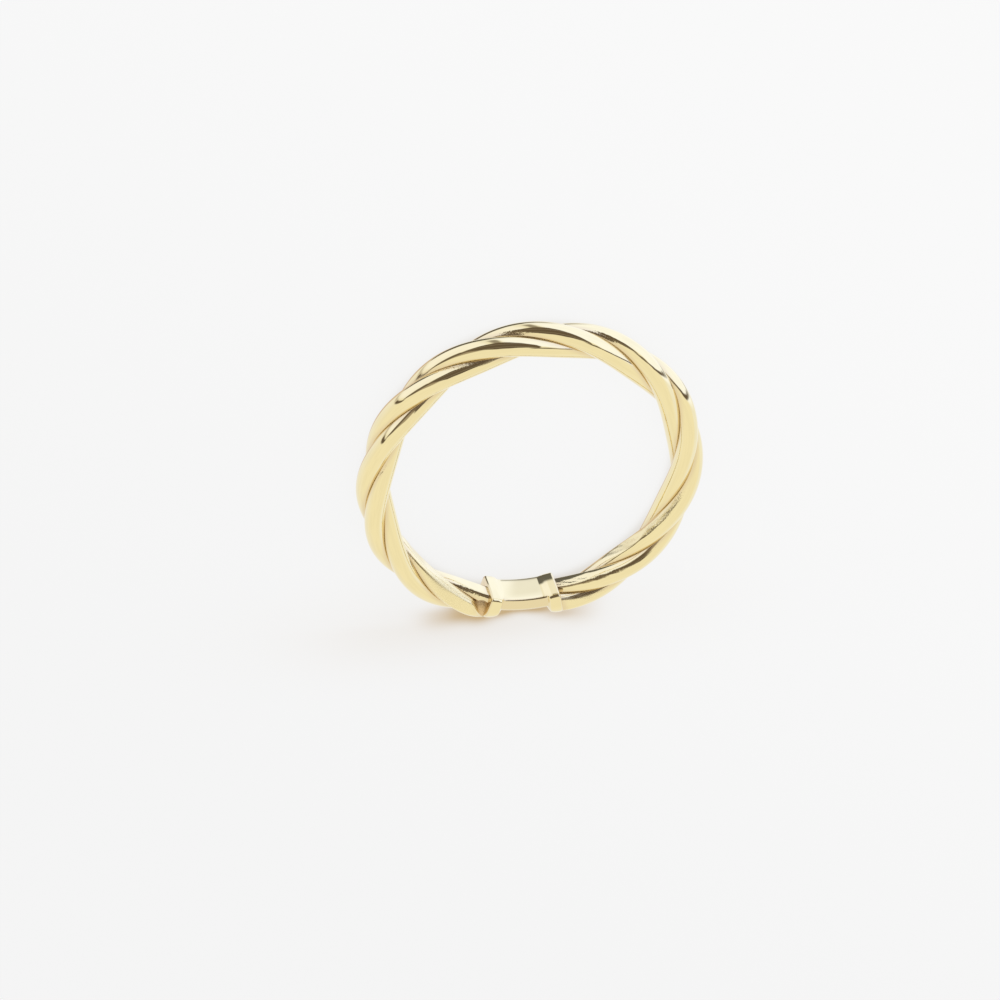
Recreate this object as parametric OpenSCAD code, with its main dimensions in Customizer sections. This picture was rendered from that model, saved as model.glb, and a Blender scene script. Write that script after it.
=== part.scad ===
// Rope twist ring: three round wires laid up like rope and pressed together,
// closed by a short plain bar with a collar at each end.
// Lengths are in millimetres, angles in degrees. The ring lies flat: the
// finger axis is +Z, the sizing bar is at +Y, the lowest point is at z = 0.

/* [Rope] */
// Clear diameter inside the rope, the finger size
finger_d = 17.3; // [14:0.1:23]
// Diameter of each wire
wire_d = 1.24; // [0.8:0.02:1.6]
// How much closer the middles of two wires lie than their diameter
press = 0.34; // [0:0.02:0.4]
// Gap kept between neighbouring wires, and between wire ends and collars
gap = 0.04; // [0.02:0.01:0.08]
// Turns each wire would make in a full circle
turns = 4.1; // [2:0.05:7]
// Place of the first wire round the rope, opposite the bar (0 is outermost)
phase = 3.8; // [0:0.1:120]
// Length over which the last end of the first wire is drawn to a point
point_len = 1.2; // [0.4:0.1:3]
// Thickness left at the end of that point
point_d = 0.26; // [0.1:0.02:0.6]

/* [Sizing bar] */
// Length over both collars, along the middle of the rope
bar_len = 5; // [3:0.1:8]
// Width of the bar along the finger
bar_w = 2.3; // [1.4:0.05:4]
// Thickness of the bar
bar_t = 0.95; // [0.5:0.05:1.6]
// How far the bar's inner face lies outside the finger circle
bar_in = 0.1; // [0:0.02:0.5]
// Radius on the bar's two inner edges
bar_in_r = 0.14; // [0.05:0.01:0.3]
// Radius on the bar's two outer edges
bar_out_r = 0.36; // [0.1:0.02:0.8]

/* [Collars] */
// Length of each collar
collar_len = 0.85; // [0.4:0.05:1.4]
// Width of a collar along the finger
collar_w = 2.74; // [1.6:0.02:4.5]
// Depth of a collar from its inner to its outer face
collar_t = 1.86; // [1:0.02:3]
// Radius on a collar's two inner edges
collar_in_r = 0.26; // [0.1:0.02:0.6]
// Radius on a collar's two outer edges
collar_out_r = 1; // [0.2:0.02:1.3]
// Radius round the face that meets the wires
collar_lip = 0.14; // [0.04:0.01:0.3]
// Length over which a collar's inner face runs out into the bar
collar_blend = 0.7; // [0.1:0.05:0.8]
// Length over which a collar's sides step in to the bar
collar_step = 0.2; // [0.1:0.05:0.5]

/* [Hidden] */
gold = [0.93, 0.80, 0.48];

// How finely the curves are drawn
wire_sides = 16;
wire_steps = 110;
point_steps = 6;
corner_steps = 8;
lip_steps = 4;
shoulder_steps = 13;
blend_steps = 4;
bar_steps = 12;

// Offset of each wire from the middle of the rope
lay_r = (wire_d - press) / sqrt(3);
rope_t = 2 * lay_r + wire_d;
finger_r = finger_d / 2;
rope_r = finger_r + rope_t / 2;

// The collars are the widest thing, and set the height of the finger axis.
mid_z = max(collar_w, rope_t) / 2;

function unit(v) = v / norm(v);
function mix(a, b, f) = a + (b - a) * f;
function total(v, i = 0) = i == len(v) - 1 ? v[i] : v[i] + total(v, i + 1);
function mean(v) = total(v) / len(v);

// Places on the ring are angles from the middle of the bar, anticlockwise
// from above. arc() turns a length along the middle of the rope into one.
function arc(length) = length / rope_r * 180 / PI;
function outward(u) = [-sin(u), cos(u), 0];

rope_from = arc(bar_len / 2 + gap);
rope_to = 360 - rope_from;

// Closed skin over a list of outlines with the same number of points
module skin(rings) {
    n = len(rings[0]);
    m = len(rings);
    last = (m - 1) * n;
    points = concat([for (r = rings) each r], [mean(rings[0]), mean(rings[m - 1])]);
    sides = [for (j = [0 : m - 2], i = [0 : n - 1])
        let (p = j * n + i, q = j * n + (i + 1) % n)
        each [[p, q + n, p + n], [p, q, q + n]]];
    ends = [for (i = [0 : n - 1])
        let (q = (i + 1) % n)
        each [[n * m, q, i], [n * m + 1, last + i, last + q]]];
    polyhedron(points = points, faces = concat(sides, ends), convexity = 10);
}

// Middle line of wire k at angle u: in_rope() is a direction across the
// rope, outward at 0 and up at 90.
function turn_at(k, u) = phase + 120 * k - turns * (u - 180);
function in_rope(turn, u) = cos(turn) * outward(u) + [0, 0, sin(turn)];
function wire_mid(k, u) =
    rope_r * outward(u) + [0, 0, mid_z] + lay_r * in_rope(turn_at(k, u), u);

// The last end of wire 0 thins to a point, which stays against the outer
// upper side of the rope and leaves a small hollow beside the collar.
point_arc = arc(point_len);
point_side = 37;
point_shift = 0.37;
function wire_size(k, u) =
    let (t = k > 0 ? 0 : max(0, 1 - (rope_to - u) / point_arc))
    mix(wire_d, point_d, t * t);
function wire_shift(k, u) =
    (wire_d - wire_size(k, u)) * point_shift * in_rope(point_side, u);

// One outline of wire k: a circle square to the wire, slid along the wire
// on to the half plane at angle u, so that both ends come out flat, and cut
// back to the two walls where it lies against the other wires.
slope_step = 0.05;
function wire_ring(k, u) =
    let (turn = turn_at(k, u),
         shift = wire_shift(k, u),
         run = unit(wire_mid(k, u + slope_step) - wire_mid(k, u - slope_step)),
         square = outward(u + 90),
         side = in_rope(turn, u),
         up = cross(side, run),
         walls = [in_rope(turn + 150, u), in_rope(turn - 150, u)],
         room = [for (wall = walls) lay_r * sin(60) - gap / 2 - shift * wall])
    [for (i = [0 : wire_sides - 1])
        let (s = 360 * (i + 0.5) / wire_sides,
             round = wire_size(k, u) / 2 * (cos(s) * side + sin(s) * up),
             flat = round - run * (round * square) / (run * square),
             over = max([for (j = [0, 1]) flat * walls[j] / room[j]]))
        wire_mid(k, u) + shift + flat / max(1, over)];

module strand(k) {
    round_to = k > 0 ? rope_to : rope_to - point_arc;
    round_at = [for (j = [0 : wire_steps]) mix(rope_from, round_to, j / wire_steps)];
    point_at = [for (j = [1 : point_steps]) mix(round_to, rope_to, j / point_steps)];
    color(gold)
        skin([for (u = k > 0 ? round_at : concat(round_at, point_at)) wire_ring(k, u)]);
}

module strand_1() strand(0);
module strand_2() strand(1);
module strand_3() strand(2);

// Bar and collars: every size follows x, the distance from the face that
// meets the wires.
shoulder_to = collar_len + collar_step / 2;
bar_from = max(shoulder_to, collar_len + collar_blend / 2);
edge_flat = 0.02;

// 1 in the collar and 0 in the bar, turning over the length w
function in_collar(x, w) =
    let (t = min(1, max(0, (x - collar_len) / w + 0.5)))
    1 - t * t * (3 - 2 * t);
// 1 at the wires, falling in a rounded shoulder to 0 at the bar
function shoulder(x) =
    let (t = min(1, max(0, (x - collar_lip) / (shoulder_to - collar_lip))))
    sqrt(1 - t * t);
// Setback that rounds the face against the wires
function lip(x) =
    let (t = max(0, 1 - x / collar_lip))
    collar_lip * (1 - sqrt(1 - t * t));

// Outline at distance x from one end face, on the side of the bar where
// turn is 1 (anticlockwise) or -1
function bar_ring(x, turn) =
    let (u = turn * arc(bar_len / 2 - x),
         face = in_collar(x, collar_blend),
         side = in_collar(x, collar_step),
         back = shoulder(x),
         r0 = finger_r + mix(bar_in, 0, face) + lip(x),
         r1 = finger_r + mix(bar_in + bar_t, collar_t, back) - lip(x),
         h = mix(bar_w, collar_w, side) / 2 - lip(x),
         in_r = mix(bar_in_r, collar_in_r, side),
         room = min(r1 - r0 - in_r, h) - edge_flat,
         out_r = min(mix(bar_out_r, collar_out_r, back), room))
    [for (c = [0 : 3], i = [0 : corner_steps])
        let (outer = c == 0 || c == 3,
             r = outer ? out_r : in_r,
             s = 90 * (c + i / corner_steps),
             from_axis = (outer ? r1 - r : r0 + r) + r * cos(s),
             height = (c < 2 ? h - r : r - h) + r * sin(s))
        from_axis * outward(u) + [0, 0, mid_z + height]];

// Outlines stand close together where the shape changes.
side_at = concat(
    [for (i = [0 : lip_steps]) collar_lip * (1 - cos(90 * i / lip_steps))],
    [for (i = [1 : shoulder_steps]) mix(collar_lip, shoulder_to, sin(90 * i / shoulder_steps))],
    bar_from > shoulder_to
        ? [for (i = [1 : blend_steps]) mix(shoulder_to, bar_from, i / blend_steps)] : []);
middle_at = [for (i = [1 : bar_steps - 1]) mix(bar_from, bar_len - bar_from, i / bar_steps)];

module sizing_bar()
    color(gold)
        skin(concat(
            [for (x = side_at) bar_ring(x, -1)],
            [for (x = middle_at) bar_ring(x, -1)],
            [for (i = [len(side_at) - 1 : -1 : 0]) bar_ring(side_at[i], 1)]));

strand_1();
strand_2();
strand_3();
sizing_bar();
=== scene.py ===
"""Looks of the rope twist ring: polished wires, collars and sizing bar in pale yellow gold."""

import math
from collections import namedtuple

import bpy
import numpy as np
from mathutils import Matrix, Vector


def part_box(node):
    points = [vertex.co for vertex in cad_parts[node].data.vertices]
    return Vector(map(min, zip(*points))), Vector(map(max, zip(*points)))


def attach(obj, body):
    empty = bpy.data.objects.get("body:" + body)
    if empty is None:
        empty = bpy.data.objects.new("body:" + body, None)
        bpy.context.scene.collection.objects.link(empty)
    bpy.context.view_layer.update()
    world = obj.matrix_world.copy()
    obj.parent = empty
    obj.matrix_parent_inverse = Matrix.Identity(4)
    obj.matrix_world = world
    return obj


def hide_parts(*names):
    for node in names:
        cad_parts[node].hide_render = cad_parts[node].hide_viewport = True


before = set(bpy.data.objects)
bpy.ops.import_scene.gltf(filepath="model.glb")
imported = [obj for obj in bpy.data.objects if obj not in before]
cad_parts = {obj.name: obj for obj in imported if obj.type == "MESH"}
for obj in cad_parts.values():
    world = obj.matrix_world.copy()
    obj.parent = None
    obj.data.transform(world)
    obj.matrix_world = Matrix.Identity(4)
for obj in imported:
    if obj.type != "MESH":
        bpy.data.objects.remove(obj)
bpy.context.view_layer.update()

MM = 0.001
bar_low, bar_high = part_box("sizing_bar")

# Sizes in millimetres, as the solids have them
FINGER_R = 17.3 / 2
WIRE_D = 1.24
PRESS = 0.34
GAP = 0.04
TURNS = 4.1
PHASE = 3.8
POINT_LEN = 1.2
POINT_D = 0.26
POINT_SIDE = 37
POINT_SHIFT = 0.37
BAR_LEN = 5.0
BAR_W = 2.3
BAR_T = 0.95
BAR_IN = 0.1
BAR_IN_R = 0.14
BAR_OUT_R = 0.36
COLLAR_LEN = 0.85
COLLAR_W = (bar_high.z - bar_low.z) / MM
COLLAR_T = 1.86
COLLAR_IN_R = 0.26
# One collar's inner edge is rounder on the side that the ring lies on
COLLAR_LOW_R = 0.5
COLLAR_OUT_R = 1.0
COLLAR_LIP = 0.14
COLLAR_BLEND = 0.7
COLLAR_STEP = 0.2

# How far the wires run into the collars, where they are soldered, and the
# seam that shows between two wires
WELD = 0.12
SEAM = 0.012

LAY_R = (WIRE_D - PRESS) / math.sqrt(3)
ROPE_R = FINGER_R + LAY_R + WIRE_D / 2
MID_Z = COLLAR_W / 2

# The rope is filed flatter beside the bar, where the ring was sized: depth on its inner side
# and on top, the angles from the bar where that ends and over which it fades, and the
# softness of its edge, near the bar and where the filing ends
INNER_DEPTH = 0.18
INNER_TO = 72
INNER_FADE = 20
TOP_DEPTH = 0.14
TOP_TO = 44
TOP_FADE = 12
FILED_EDGE = 0.025
FADED_EDGE = 0.14
# Beside one collar the inner side is filed aslant below a height
SLANT = 0.07
SLANT_BELOW = 1.32
SLANT_TO = 34
SLANT_FADE = 8
SLANT_EDGE = 0.05

WIRE_SIDES = 96
WIRE_STEPS = 760


def arc(length):
    """Angle in degrees of a length along the middle of the rope."""
    return math.degrees(length / ROPE_R)


def outward(u):
    """Unit vectors away from the finger axis, at angles u from the middle of the bar."""
    a = np.radians(u)
    return np.stack([-np.sin(a), np.cos(a), np.zeros_like(a)], -1)


def upward(z):
    """Vectors of height z."""
    z = np.asarray(z, float)
    return np.stack([np.zeros_like(z), np.zeros_like(z), z], -1)


def unit(v):
    return v / np.linalg.norm(v, axis=-1, keepdims=True)


def dot(a, b):
    return (a * b).sum(-1, keepdims=True)


def mix(a, b, f):
    return a + (b - a) * f


def smooth(t):
    t = np.clip(t, 0, 1)
    return t * t * (3 - 2 * t)


# Worn places on the wires: wire, middle and half length in degrees round the ring, middle
# and half width in degrees round the wire from its outermost line, and strength
Mark = namedtuple("Mark", "wire at along side around strength")

MARKS = [
    Mark(3, 211, 7, -94, 12, 1.6),
    Mark(3, 16, 5, -42, 14, 1.0),
    Mark(3, 22, 5, -18, 14, 1.0),
    Mark(3, 30, 6, 6, 14, 0.8),
    Mark(3, 38, 6, 30, 14, 0.5),
    Mark(3, 159, 5, 86, 10, 0.8),
    Mark(1, 190, 5, 90, 12, 1.3),
    Mark(1, 78, 7, 74, 16, 1.0),
    Mark(1, 66, 8, 44, 16, 0.8),
    Mark(1, 54, 8, 12, 16, 0.7),
    Mark(1, 40, 8, -25, 16, 0.25),
    Mark(1, 308, 10, -98, 12, 0.8),
    Mark(2, 259, 5, -93, 9, 1.2),
    Mark(2, 111, 2, 63, 9, 0.6),
    Mark(2, 17, 4, 38, 14, 1.0),
    Mark(2, 25, 5, 60, 14, 1.0),
    Mark(2, 338, 6, -80, 22, 0.9),
]

# Places with a satin finish, given in the same way
SATIN = [
    Mark(1, 328, 14, 0, 400, 0.9),
    Mark(1, 38, 10, -20, 40, 0.4),
    Mark(2, 18, 4, 57, 18, 0.8),
    Mark(2, 24, 4, 69, 18, 0.8),
    Mark(2, 30, 4, 79, 16, 0.6),
]


def marked(marks, k):
    """How strongly each point of wire k is marked."""
    u = wire_places()
    side = (wire_angles() + 180) % 360 - 180
    level = np.zeros((len(u), len(side)))
    for m in marks:
        if m.wire == k + 1:
            along = np.exp(-((u - m.at) / m.along) ** 2)
            around = np.exp(-((side - m.side) / m.around) ** 2)
            level = np.maximum(level, m.strength * along[:, None] * around[None])
    return level


# Wires

def in_rope(turn, u):
    """Directions across the rope at angles u: outward at turn 0 and up at 90."""
    t = np.radians(turn)
    return np.cos(t)[..., None] * outward(u) + upward(np.sin(t))


def turn_at(k, u):
    return PHASE + 120 * k - TURNS * (u - 180)


def wire_mid(k, u):
    """Middle line of wire k before its end is drawn to a point."""
    return ROPE_R * outward(u) + upward(MID_Z) + LAY_R * in_rope(turn_at(k, u), u)


def wire_size(k, u, last):
    """Diameter of wire k: the last end of wire 0 thins to a point."""
    t = np.clip(1 - (last - u) / arc(POINT_LEN), 0, 1) if k == 0 else 0 * u
    return WIRE_D + (POINT_D - WIRE_D) * t * t


def wire_rings(k):
    """Outlines of wire k: circles cut back to the two walls against the other wires."""
    u = wire_places()
    size = wire_size(k, u, u[-1] - arc(WELD))
    shift = ((WIRE_D - size) * POINT_SHIFT)[:, None] * in_rope(POINT_SIDE + 0 * u, u)
    slope_step = 0.05
    run = unit(wire_mid(k, u + slope_step) - wire_mid(k, u - slope_step))
    turn = turn_at(k, u)
    side = in_rope(turn, u)
    up = np.cross(side, run)
    s = np.radians(wire_angles())[None, :, None]
    p = size[:, None, None] / 2 * (np.cos(s) * side[:, None] + np.sin(s) * up[:, None])
    square = outward(u + 90)
    flat = p - run[:, None] * dot(p, square[:, None]) / dot(run, square)[:, None]
    over = np.ones(flat.shape[:2] + (1,))
    for wall_turn in (turn + 150, turn - 150):
        wall = in_rope(wall_turn, u)
        room = LAY_R * math.sin(math.radians(60)) - SEAM / 2 - dot(shift, wall)
        over = np.maximum(over, dot(flat, wall[:, None]) / room[:, None])
    return filed((wire_mid(k, u) + shift)[:, None] + flat / over, u)


def beyond(x, edge):
    """Zero below 0 and x above it, with a rounded corner."""
    return edge * np.logaddexp(0, x / edge)


def filed(points, u):
    """Outlines with the rope filed flatter near the bar, on its inner side and on top."""
    height = points[..., 2]
    from_bar = np.minimum(u, 360 - u)
    share = smooth((INNER_TO - from_bar) / INNER_FADE)[:, None]
    reach = np.hypot(points[..., 0], points[..., 1])
    slant = SLANT * smooth((SLANT_TO - u) / SLANT_FADE)[:, None]
    floor = FINGER_R + INNER_DEPTH * share + slant * beyond(SLANT_BELOW - height, SLANT_EDGE)
    edge = mix(FADED_EDGE, FILED_EDGE, share)
    scale = mix(1, (floor + beyond(reach - floor, edge)) / reach, share)
    share = smooth((TOP_TO - from_bar) / TOP_FADE)[:, None]
    top = MID_Z + LAY_R + WIRE_D / 2 - TOP_DEPTH * share
    edge = mix(FADED_EDGE, FILED_EDGE, share)
    lowered = mix(height, top - beyond(top - height, edge), share)
    return np.stack([points[..., 0] * scale, points[..., 1] * scale, lowered], -1)


def wire_places():
    """Angles from the middle of the bar of the outlines of each wire."""
    first = arc(BAR_LEN / 2 + GAP - WELD)
    return np.linspace(first, 360 - first, WIRE_STEPS)


def wire_angles():
    """Places round a wire in degrees, from its outermost line."""
    return 360 * (np.arange(WIRE_SIDES) + 0.5) / WIRE_SIDES


def skin(name, rings):
    """Mesh object over a row of outlines, closed by a fan at each end."""
    m, n = rings.shape[:2]
    j, i = np.mgrid[0:m - 1, 0:n]
    a = j * n + i
    b = j * n + (i + 1) % n
    quads = np.stack([a, b, b + n, a + n], -1).reshape(-1, 4).tolist()
    around = list(range(n))
    first = [[n * m, (q + 1) % n, q] for q in around]
    last = [[n * m + 1, n * (m - 1) + q, n * (m - 1) + (q + 1) % n] for q in around]
    points = np.vstack([rings.reshape(-1, 3), rings[0].mean(0), rings[-1].mean(0)])
    mesh = bpy.data.meshes.new(name)
    mesh.from_pydata((points * MM).tolist(), [], quads + first + last)
    smooth_faces = [True] * len(quads) + [False] * (2 * n)
    mesh.polygons.foreach_set("use_smooth", smooth_faces)
    mesh.update()
    piece = bpy.data.objects.new(name, mesh)
    bpy.context.scene.collection.objects.link(piece)
    return piece


def set_attribute(piece, name, values):
    layer = piece.data.attributes.new(name, "FLOAT", "POINT")
    layer.data.foreach_set("value", np.asarray(values, np.float32))


# Painted shade in the small hollow where the first wire's end is drawn to a point: deeper in
# tone than the painted shade of the creases, whose depth is 1
HOLLOW_AT = (2.6, 9.35, 1.95)
HOLLOW_R = 0.5
HOLLOW_SHADE_DEPTH = 1.9
# Where the painted shade in the creases begins and is deepest, in degrees round the wire from its
# outermost line
CREASE_FROM = 70
CREASE_AT = 104
# Painted shade on the wires beside the collars, and how far it reaches along the wires
JOINT_SHADE_DEPTH = 0.8
JOINT_SHADE_LEN = 0.4


def make_wire(k):
    rings = wire_rings(k)
    piece = skin(f"twisted_wire_{k + 1}", rings)
    away = np.abs((wire_angles() + 180) % 360 - 180)
    # Painted shade in the creases between the wires
    crease = smooth((away - CREASE_FROM) / (CREASE_AT - CREASE_FROM))
    u = wire_places()
    from_collar = np.minimum(u - u[0], u[-1] - u) / arc(1) - WELD
    # Painted shade where the wires meet the collars
    joint_shade = JOINT_SHADE_DEPTH * smooth(1 - from_collar / JOINT_SHADE_LEN)
    # Deeper painted shade round the hollow
    from_hollow = np.linalg.norm(rings - HOLLOW_AT, axis=-1) / HOLLOW_R
    hollow = HOLLOW_SHADE_DEPTH * np.exp(-from_hollow ** 2)
    depth = np.maximum(np.maximum(crease[None], joint_shade[:, None]), hollow)
    # The end fans take the creases' full painted shade
    set_attribute(piece, "painted_shade", np.append(depth.ravel(), [1, 1]))
    set_attribute(piece, "wear", np.append(marked(MARKS, k).ravel(), [0, 0]))
    set_attribute(piece, "satin", np.append(marked(SATIN, k).ravel(), [0, 0]))
    return piece


# Painted shade on the fills of solder below their tops; their tops take the hollow's deeper
# painted shade
FILL_SHADE_DEPTH = 0.3
# Rounded fills of solder: middle and radii
FILLS = {
    "solder_in_hollow": ((2.62, 9.48, 1.52), (0.68, 0.82, 0.81)),
    "solder_fill": ((-2.62, 9.45, 1.37), (0.50, 0.72, 0.72)),
}


def make_solder(name, place, radii):
    """Rounded fill between the wires' ends and a collar."""
    rings, sides = 24, 48
    from_pole = 0.02
    down = np.linspace(from_pole, math.pi - from_pole, rings)[:, None]
    round_by = (2 * math.pi * np.arange(sides) / sides)[None]
    ball = np.stack([np.sin(down) * np.cos(round_by), np.sin(down) * np.sin(round_by),
                     np.cos(down) + 0 * round_by], -1)
    piece = skin(name, (ball * radii + place)[::-1])
    # Painted shade, faint below and deep on top
    on_top = smooth(2 * ball[::-1, :, 2])
    depth = mix(FILL_SHADE_DEPTH, HOLLOW_SHADE_DEPTH, on_top)
    set_attribute(piece, "painted_shade", np.append(depth.ravel(), [FILL_SHADE_DEPTH, HOLLOW_SHADE_DEPTH]))
    return piece


# Sizing bar with its two collars

SHOULDER_TO = COLLAR_LEN + COLLAR_STEP / 2
EDGE_FLAT = 0.02
# How far the inner face swells at its middle
CROWN = 0.05
# Painted shade: a deeper tone at the edge against the wires, and on the bar's upper side past
# this share of its half width
LIP_SHADE_DEPTH = 0.9
SIDE_SHADE_DEPTH = 0.7
SIDE_FROM = 0.8


def in_collar(x, width):
    return 1 - smooth((x - COLLAR_LEN) / width + 0.5)


def bar_outlines(x, turn):
    """Outlines of the bar at distances x from an end face, on the side given by turn."""
    corner_steps = 14
    flat_steps = 10
    t = np.clip((x - COLLAR_LIP) / (SHOULDER_TO - COLLAR_LIP), 0, 1)
    back = np.sqrt(1 - t * t)
    t = np.clip(1 - x / COLLAR_LIP, 0, None)
    lip = COLLAR_LIP * (1 - np.sqrt(1 - t * t))
    face = in_collar(x, COLLAR_BLEND)
    side = in_collar(x, COLLAR_STEP)
    r0 = FINGER_R + mix(BAR_IN, 0, face) + lip
    r1 = FINGER_R + mix(BAR_IN + BAR_T, COLLAR_T, back) - lip
    h = mix(BAR_W, COLLAR_W, side) / 2 - lip
    in_r = mix(BAR_IN_R, COLLAR_IN_R, side)
    low_in_r = mix(BAR_IN_R, COLLAR_LOW_R, side) if turn > 0 else in_r
    room = np.minimum(r1 - r0 - in_r, h) - EDGE_FLAT
    out_r = np.minimum(mix(BAR_OUT_R, COLLAR_OUT_R, back), room)
    corners = []
    for c in range(4):
        r = (out_r, in_r, low_in_r, out_r)[c]
        s = np.radians(90 * (c + np.arange(corner_steps + 1) / corner_steps))[None]
        from_axis = (r1 - r if c in (0, 3) else r0 + r)[:, None] + r[:, None] * np.cos(s)
        height = (h - r if c < 2 else r - h)[:, None] + r[:, None] * np.sin(s)
        corners.append(np.stack([from_axis, height], -1))
    share = (np.arange(1, flat_steps) / flat_steps)[None, :, None]
    rows = []
    for c in range(4):
        here, after = corners[c], corners[(c + 1) % 4]
        rows += [here, mix(here[:, -1:], after[:, :1], share)]
    outline = np.concatenate(rows, 1)
    height = outline[..., 1] / h[:, None]
    from_outer = (r1[:, None] - outline[..., 0]) / (r1 - r0)[:, None]
    outline[..., 0] -= CROWN * (1 - height ** 2) * smooth(from_outer * 2 - 1)
    u = turn * np.degrees((BAR_LEN / 2 - x) / ROPE_R)
    return outline[..., :1] * outward(u)[:, None] + upward(MID_Z + outline[..., 1])


def bar_stations():
    """Distances from an end face up to the middle of the bar, close where the shape changes."""
    lip_count, shoulder_count, blend_count, middle_count = 10, 60, 12, 30
    lip_turn = np.radians(np.linspace(0, 90, lip_count))
    shoulder_turn = np.radians(np.linspace(0, 90, shoulder_count)[1:])
    bar_from = COLLAR_LEN + COLLAR_BLEND / 2
    lip = COLLAR_LIP * (1 - np.cos(lip_turn))
    shoulder = mix(COLLAR_LIP, SHOULDER_TO, np.sin(shoulder_turn))
    blend = np.linspace(SHOULDER_TO, bar_from, blend_count)[1:]
    middle = np.linspace(bar_from, BAR_LEN / 2, middle_count)[1:]
    return np.concatenate([lip, shoulder, blend, middle])


def make_bar():
    x = bar_stations()
    one = bar_outlines(x, -1)
    other = bar_outlines(x[::-1][1:], 1)
    rings = np.concatenate([one, other])
    piece = skin("soldered_bar", rings)
    from_end = np.concatenate([x, x[::-1][1:]])
    # Painted shade at the ends against the wires and on the bar's upper side between the collars;
    # the end faces take the hollow's deeper painted shade
    joint_shade = LIP_SHADE_DEPTH * smooth(1 - from_end / COLLAR_LIP)
    from_middle = (rings[..., 2] - MID_Z) / (BAR_W / 2)
    on_side = smooth((from_middle - SIDE_FROM) / (1 - SIDE_FROM))
    between = 1 - in_collar(from_end, COLLAR_STEP)
    depth = np.maximum(joint_shade[:, None], SIDE_SHADE_DEPTH * on_side * between[:, None]).ravel()
    set_attribute(piece, "painted_shade", np.append(depth, [HOLLOW_SHADE_DEPTH, HOLLOW_SHADE_DEPTH]))
    return piece


# Shader helpers

class Nodes:
    """Short ways to add and join nodes in one tree."""

    def __init__(self, tree):
        self.tree = tree
        tree.nodes.clear()

    def add(self, kind, settings=None, **inputs):
        node = self.tree.nodes.new(kind)
        for key, value in (settings or {}).items():
            setattr(node, key, value)
        for key, value in inputs.items():
            self.put(node.inputs[key.replace("_", " ")], value)
        return node

    def put(self, socket, value):
        if isinstance(value, bpy.types.NodeSocket):
            self.tree.links.new(value, socket)
        else:
            socket.default_value = value

    def math(self, operation, *values):
        node = self.tree.nodes.new("ShaderNodeMath")
        node.operation = operation
        for socket, value in zip(node.inputs, values):
            self.put(socket, value)
        return node.outputs[0]

    def step(self, value, low, high):
        """0 below low, 1 above high, smooth between."""
        node = self.add("ShaderNodeMapRange", {"interpolation_type": "SMOOTHSTEP"})
        for name, x in (("Value", value), ("From Min", low), ("From Max", high)):
            self.put(node.inputs[name], x)
        return node.outputs["Result"]

    def edge(self, value, place, soft):
        """0 before a place and 1 past it, over a soft width."""
        return self.step(value, place - soft / 2, place + soft / 2)

    def ramp(self, value, low, high, at_low, at_high):
        """Straight line from one number to another, level outside them."""
        node = self.add("ShaderNodeMapRange")
        for name, x in (("Value", value), ("From Min", low), ("From Max", high),
                        ("To Min", at_low), ("To Max", at_high)):
            self.put(node.inputs[name], x)
        return node.outputs["Result"]

    def mix(self, share, a, b):
        node = self.add("ShaderNodeMix", {"data_type": "RGBA"})
        self.put(node.inputs["Factor"], share)
        self.put(node.inputs[6], a)
        self.put(node.inputs[7], b)
        return node.outputs[2]

    def noise(self, vector, scale, detail=2.0):
        node = self.add("ShaderNodeTexNoise")
        self.put(node.inputs["Vector"], vector)
        self.put(node.inputs["Scale"], scale)
        self.put(node.inputs["Detail"], detail)
        return node.outputs["Fac"]


def grey(level):
    return (level, level, level, 1.0)


# Gold

# Gold, its tone with painted shade in the creases, and with the deeper painted shade of the
# hollow
GOLD = (0.93, 0.82, 0.49, 1.0)
GOLD_CREASE_SHADE = (0.83, 0.70, 0.45, 1.0)
GOLD_SHADE = (0.80, 0.59, 0.31, 1.0)

# Noise scales to the millimetre: slow waves of the drawn wire, patches and fine marks
DRAWN_SCALE = 0.9
PATCH_SCALE = 0.6
PATCH_RANGE = (0.52, 0.75)
FINE_SCALE = 8.0
# How strongly the fine marks show, against the slow waves
FINE_LEAST = 0.03
FINE_IN_PATCH = 0.15
FINE_WORN = 3.5
FINE_IN_GROOVE = 0.2
# Roughness of bare gold, and what a crease and a satin place add to it
ROUGH_LEAST = 0.03
ROUGH_GROOVE = 0.15
ROUGH_SATIN = 0.45
# Height of the waves in millimetres
WIRE_RIPPLE = 0.008
BAR_RIPPLE = 0.003


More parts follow.
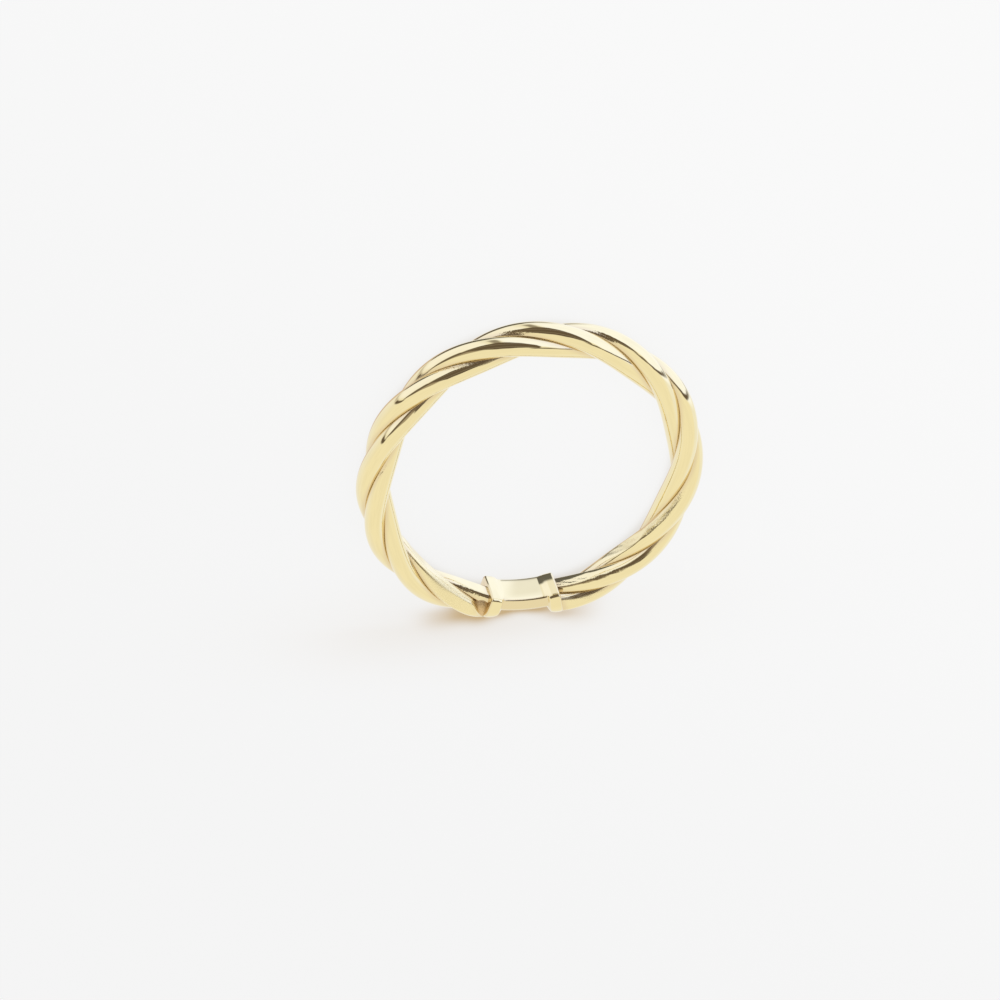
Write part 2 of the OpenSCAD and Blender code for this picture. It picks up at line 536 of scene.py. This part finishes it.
def make_gold(name, ripple):
    material = bpy.data.materials.new(name)
    material.use_nodes = True
    n = Nodes(material.node_tree)
    place = n.add("ShaderNodeTexCoord").outputs["Object"]
    place_mm = n.add("ShaderNodeVectorMath", {"operation": "SCALE"}, Vector=place, Scale=1 / MM)
    mm = place_mm.outputs["Vector"]
    painted_shade = n.add("ShaderNodeAttribute", {"attribute_name": "painted_shade"}).outputs["Fac"]
    wear = n.add("ShaderNodeAttribute", {"attribute_name": "wear"}).outputs["Fac"]
    satin = n.add("ShaderNodeAttribute", {"attribute_name": "satin"}).outputs["Fac"]

    drawn = n.noise(mm, DRAWN_SCALE, 1.0)
    patch = n.step(n.noise(mm, PATCH_SCALE, 3.0), *PATCH_RANGE)
    fine = n.noise(mm, FINE_SCALE, 4.0)
    everywhere = n.math("MULTIPLY_ADD", patch, FINE_IN_PATCH, FINE_LEAST)
    worn = n.math("MULTIPLY", wear, FINE_WORN)
    creased = n.math("MULTIPLY", painted_shade, FINE_IN_GROOVE)
    amount = n.math("MAXIMUM", everywhere, n.math("MAXIMUM", worn, creased))
    height = n.math("MULTIPLY_ADD", fine, amount, drawn)
    bump = n.add("ShaderNodeBump", Strength=1.0, Distance=ripple * MM, Height=height)

    # Painted shade: the creases' tone up to depth 1, and the hollow's deeper tone beyond it
    hollow = n.math("MINIMUM", n.math("MAXIMUM", n.math("SUBTRACT", painted_shade, 1.0), 0.0), 1.0)
    tone = n.mix(hollow, n.mix(painted_shade, GOLD, GOLD_CREASE_SHADE), GOLD_SHADE)
    depth = n.math("MINIMUM", painted_shade, 1.0)
    roughness = n.math("MULTIPLY_ADD", n.math("POWER", depth, 3.0), ROUGH_GROOVE, ROUGH_LEAST)
    roughness = n.math("MULTIPLY_ADD", n.math("MAXIMUM", hollow, satin), ROUGH_SATIN, roughness)
    shader = n.add("ShaderNodeBsdfPrincipled", Base_Color=tone, Metallic=1.0, Roughness=roughness)
    n.put(shader.inputs["Normal"], bump.outputs["Normal"])
    n.add("ShaderNodeOutputMaterial", Surface=shader.outputs["BSDF"])
    return material


# Light: what the gold mirrors is a pale studio with a broad soft light on each side, a dark
# gap round the camera and thin dark joints at the lights' edges. Directions are in degrees:
# azimuth 0 is toward -Y and 90 toward +X, and a panel's left and right sides are given at
# its lower and upper edge.

Panel = namedtuple("Panel", "el_from el_to left right soft_az soft_el colour share")

WALLS = (0.95, 0.92, 0.84, 1.0)
TABLE = (0.94, 0.95, 1.03, 1.0)
COOL = (0.96, 0.98, 1.06, 1.0)
WHITE = (1.08, 1.16, 1.50, 1.0)
SOFT = (1.03, 1.06, 1.25, 1.0)
DARK = (0.13, 0.10, 0.08, 1.0)
BLACK = (0.08, 0.07, 0.06, 1.0)
BROWN = (0.30, 0.24, 0.19, 1.0)
SMOKE = (0.14, 0.14, 0.15, 1.0)
SHADE = (0.84, 0.87, 1.02, 1.0)
TAN = (0.62, 0.46, 0.38, 1.0)
BACKDROP = 0.921
# Elevation at which the table's tone has turned into the walls', above and below level
WALLS_FROM = 40
# Faint uneven brown over all of it: scale and range of its noise, and its strength
UNEVEN_SCALE = 3.5
UNEVEN_RANGE = (0.4, 0.65)
UNEVEN_SHARE = 0.05

PANELS = [
    # Broad lights
    Panel(-52, 22, (-150, -150), (-88, -88), 30, 24, COOL, 1.0),
    Panel(-68, 46, (-112, -84), (-2, -2), 8, 10, WHITE, 1.0),
    Panel(-56, 22, (14, 14), (66, 74), 8, 14, SOFT, 1.0),
    # Dark gap round the camera
    Panel(8, 30, (-2, -25), (4, 50), 5, 5, DARK, 1.0),
    Panel(30, 60, (-25, -66), (52, 44), 5, 4, DARK, 1.0),
    Panel(60, 79, (-66, -24), (44, 34), 6, 5, DARK, 1.0),
    # Unlit place on its right
    Panel(27, 64, (46, 42), (84, 58), 8, 10, BROWN, 0.85),
    Panel(24, 42, (46, 46), (80, 74), 4, 5, DARK, 0.9),
    # Stand below the camera
    Panel(-34, 12, (0, 1), (8, 9), 5, 8, DARK, 0.75),
    # Joint at the edge of the left light
    Panel(50, 68, (-84, -80), (-66, -60), 4, 5, DARK, 0.95),
    Panel(36, 52, (-87, -86), (-79, -74), 3, 5, DARK, 1.0),
    Panel(10, 38, (-88, -87), (-84, -80), 3, 5, DARK, 1.0),
    Panel(-12, 12, (-92, -88), (-87, -84), 3, 5, DARK, 0.9),
    Panel(-44, -10, (-106, -92), (-101, -87), 3, 8, DARK, 0.6),
    # Joint at the edge of the right light
    Panel(-8, 34, (74, 82), (79, 88), 3, 8, DARK, 1.0),
    Panel(-50, -8, (70, 73), (74, 79), 4, 10, BROWN, 0.5),
    # Part of the table in the camera's shade
    Panel(-64, -44, (-30, -30), (0, 0), 16, 8, SHADE, 0.7),
    # Edge of the table and what is below it
    Panel(-61, -52.6, (-3, -3), (68, 68), 7, 2, SMOKE, 1.0),
    Panel(-92, -60, (-45, -45), (75, 75), 14, 6, BLACK, 0.95),
    Panel(-92, -58, (75, 75), (180, 180), 14, 12, TAN, 0.8),
]


def studio_colour(n):
    """What a ray that leaves the scene sees, by its direction."""
    way = n.add("ShaderNodeTexCoord").outputs["Generated"]
    parts = n.add("ShaderNodeSeparateXYZ", Vector=way).outputs
    toward = n.math("MULTIPLY", parts["Y"], -1.0)
    az = n.math("DEGREES", n.math("ARCTAN2", parts["X"], toward))
    el = n.math("DEGREES", n.math("ARCSINE", parts["Z"]))
    colour = n.mix(n.step(el, -WALLS_FROM, WALLS_FROM), TABLE, WALLS)
    for p in PANELS:
        from_left = n.math("SUBTRACT", az, n.ramp(el, p.el_from, p.el_to, *p.left))
        from_right = n.math("SUBTRACT", az, n.ramp(el, p.el_from, p.el_to, *p.right))
        past_left = n.edge(from_left, 0, p.soft_az)
        past_right = n.edge(from_right, 0, p.soft_az)
        across = n.math("SUBTRACT", past_left, past_right)
        past_low = n.edge(el, p.el_from, p.soft_el)
        past_high = n.edge(el, p.el_to, p.soft_el)
        up = n.math("SUBTRACT", past_low, past_high)
        share = n.math("MULTIPLY", n.math("MULTIPLY", across, up), p.share)
        colour = n.mix(share, colour, p.colour)
    uneven = n.step(n.noise(way, UNEVEN_SCALE), *UNEVEN_RANGE)
    return n.mix(n.math("MULTIPLY", uneven, UNEVEN_SHARE), colour, BROWN)


def make_world():
    """The studio for reflections, an even dome for soft light, and the plain backdrop."""
    world = bpy.data.worlds.new("studio")
    world.use_nodes = True
    bpy.context.scene.world = world
    n = Nodes(world.node_tree)
    ray = n.add("ShaderNodeLightPath").outputs
    dome = grey(1.0)
    seen = n.mix(ray["Is Diffuse Ray"], studio_colour(n), dome)
    colour = n.mix(ray["Is Camera Ray"], seen, grey(BACKDROP))
    background = n.add("ShaderNodeBackground", Color=colour, Strength=1.0)
    n.add("ShaderNodeOutputWorld", Surface=background.outputs[0])
    # The dome is even, so sampling it as a lamp would only make renders slow.
    world.cycles.sampling_method = "NONE"


# Floor: a pale table with a painted soft warm shade beside the sizing bar, with a painted warm
# glow of the gold in it. Each spot of the painted shade has its middle in millimetres, its half
# length, how far it runs level toward the ring, its half widths at its near and far side, and
# its strength.

Spot = namedtuple("Spot", "x y half level near far strength")

SPOTS = [
    Spot(2.0, 12.0, 12.0, 0.0, 3.5, 3.5, 0.09),
    Spot(8.5, 12.6, 4.5, 0.2, 0.6, 2.5, 0.05),
    Spot(1.5, 12.2, 5.0, 1.0, 0.6, 1.6, 0.1),
    Spot(4.9, 11.6, 1.2, 0.2, 0.6, 0.8, 0.34),
    Spot(3.5, 11.5, 1.0, 1.5, 0.6, 0.65, 0.62),
    Spot(2.2, 11.7, 0.9, 1.7, 0.6, 0.6, 0.72),
    Spot(0.9, 11.5, 0.9, 1.5, 0.6, 0.45, 0.7),
    Spot(-0.4, 11.4, 1.0, 1.4, 0.6, 0.3, 0.62),
    Spot(-1.7, 11.5, 1.0, 1.5, 0.6, 0.38, 0.65),
    Spot(-3.1, 11.9, 1.1, 2.0, 0.6, 0.5, 0.45),
    Spot(-4.4, 12.0, 1.2, 2.2, 0.6, 0.9, 0.22),
]
PAINTED_GLOW = (0.56, 0.40, 0.20, 1.0)
# Painted shadow right below the ring: its radius, half width, strength and colour
UNDER_R = 9.7
UNDER_HALF = 0.45
UNDER_STRENGTH = 0.32
UNDER_SHADOW = (0.46, 0.39, 0.29, 1.0)
# Half side of the table top in metres
FLOOR_HALF = 1.2
# Tones of the painted light at the table's dim and bright side
FLOOR_DIM = grey(0.911)
FLOOR_BRIGHT = grey(0.951)
# Painted light: the table brightens along this way over this half length
FLOOR_WAY = (-0.6, -0.7)
FLOOR_FALL = 0.035
# Share of the floor's tone that takes shadows; the rest is even
SHADOW_SHARE = 0.07


def bell(n, square, strength):
    """Strength that falls off as a bell curve, from the square of a distance."""
    return n.math("MULTIPLY", n.math("EXPONENT", n.math("MULTIPLY", square, -1.0)), strength)


def painted_warm_shade(n, parts):
    """How strongly the painted shade, with a painted warm glow of the gold in it, colours the
    table.
    """
    total = 0.0
    for spot in SPOTS:
        from_x = n.math("SUBTRACT", parts["X"], spot.x * MM)
        from_y = n.math("SUBTRACT", parts["Y"], spot.y * MM)
        across = n.math("DIVIDE", from_x, spot.half * MM)
        away = n.math("DIVIDE", from_y, spot.far * MM)
        past_level = n.math("SUBTRACT", n.math("MULTIPLY", from_y, -1.0), spot.level * MM)
        ringward = n.math("DIVIDE", past_level, spot.near * MM)
        along = n.math("MAXIMUM", n.math("MAXIMUM", away, ringward), 0.0)
        square = n.math("MULTIPLY_ADD", across, across, n.math("MULTIPLY", along, along))
        total = n.math("ADD", total, bell(n, square, spot.strength))
    return total


def painted_under_shadow(n, place):
    """How strongly the painted shadow right below the ring colours the table."""
    flat = n.add("ShaderNodeVectorMath", {"operation": "LENGTH"}, Vector=place).outputs["Value"]
    beside = n.math("DIVIDE", n.math("SUBTRACT", flat, UNDER_R * MM), UNDER_HALF * MM)
    return bell(n, n.math("MULTIPLY", beside, beside), UNDER_STRENGTH)


def make_floor():
    """Pale table top with painted light and shade, that takes a faint soft shadow and isn't
    mirrored by the gold.
    """
    signs = [(-1, -1), (1, -1), (1, 1), (-1, 1)]
    corners = [(FLOOR_HALF * x, FLOOR_HALF * y, 0) for x, y in signs]
    mesh = bpy.data.meshes.new("table_top")
    mesh.from_pydata(corners, [], [(0, 1, 2, 3)])
    floor = bpy.data.objects.new("table_top", mesh)
    bpy.context.scene.collection.objects.link(floor)
    material = bpy.data.materials.new("pale_table")
    material.use_nodes = True
    n = Nodes(material.node_tree)
    place = n.add("ShaderNodeTexCoord").outputs["Object"]
    parts = n.add("ShaderNodeSeparateXYZ", Vector=place).outputs
    # Painted light, brighter toward one side of the table
    level = n.math("MULTIPLY", parts["Y"], FLOOR_WAY[1])
    level = n.math("MULTIPLY_ADD", parts["X"], FLOOR_WAY[0], level)
    plain = n.mix(n.step(level, -FLOOR_FALL, FLOOR_FALL), FLOOR_DIM, FLOOR_BRIGHT)
    # Painted shade with the gold's painted glow beside the bar
    near = n.mix(painted_warm_shade(n, parts), plain, PAINTED_GLOW)
    # Painted shadow right below the ring
    near = n.mix(painted_under_shadow(n, place), near, UNDER_SHADOW)
    shader = n.add("ShaderNodeBsdfPrincipled", Base_Color=grey(BACKDROP * SHADOW_SHARE))
    shader.inputs["Roughness"].default_value = 1.0
    shader.inputs["Specular IOR Level"].default_value = 0.0
    n.put(shader.inputs["Emission Color"], near)
    shader.inputs["Emission Strength"].default_value = 1 - SHADOW_SHARE
    n.add("ShaderNodeOutputMaterial", Surface=shader.outputs["BSDF"])
    floor.data.materials.append(material)
    floor.visible_glossy = False


# Camera, fitted to the photograph

PICTURE_PX = 1000
RING_CENTRE_PX = (531.37, 474.67)
ROPE_R_PX = 159.13
CAMERA_DISTANCE = 176.8
CAMERA_RIGHT = Vector((-0.97321, -0.07081, 0.21872))
CAMERA_UP = Vector((-0.06552, -0.82651, -0.55909))


def make_camera():
    data = bpy.data.cameras.new("camera")
    camera = bpy.data.objects.new("camera", data)
    bpy.context.scene.collection.objects.link(camera)
    back = CAMERA_RIGHT.cross(CAMERA_UP)
    turn = Matrix((CAMERA_RIGHT, CAMERA_UP, back)).transposed().to_4x4()
    place = Vector((0, 0, MID_Z)) + back * CAMERA_DISTANCE
    camera.matrix_world = Matrix.Translation(place * MM) @ turn
    data.sensor_width = 36
    data.lens = data.sensor_width * ROPE_R_PX / PICTURE_PX * CAMERA_DISTANCE / ROPE_R
    data.shift_x = 0.5 - RING_CENTRE_PX[0] / PICTURE_PX
    data.shift_y = RING_CENTRE_PX[1] / PICTURE_PX - 0.5
    data.clip_start = 0.005
    data.clip_end = 10
    bpy.context.scene.camera = camera


def dress(piece, material):
    piece.data.materials.append(material)
    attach(piece, "root")


make_camera()
make_world()
make_floor()

wire_gold = make_gold("polished_gold_wire", WIRE_RIPPLE)
bar_gold = make_gold("polished_gold_bar", BAR_RIPPLE)
for number in range(3):
    wire = make_wire(number)
    dress(wire, wire_gold)
    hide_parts(f"strand_{number + 1}")
bar = make_bar()
dress(bar, bar_gold)
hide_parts("sizing_bar")
for name, (place, radii) in FILLS.items():
    dress(make_solder(name, place, radii), wire_gold)

scene = bpy.context.scene
scene.view_settings.view_transform = "Standard"
scene.cycles.glossy_bounces = 10
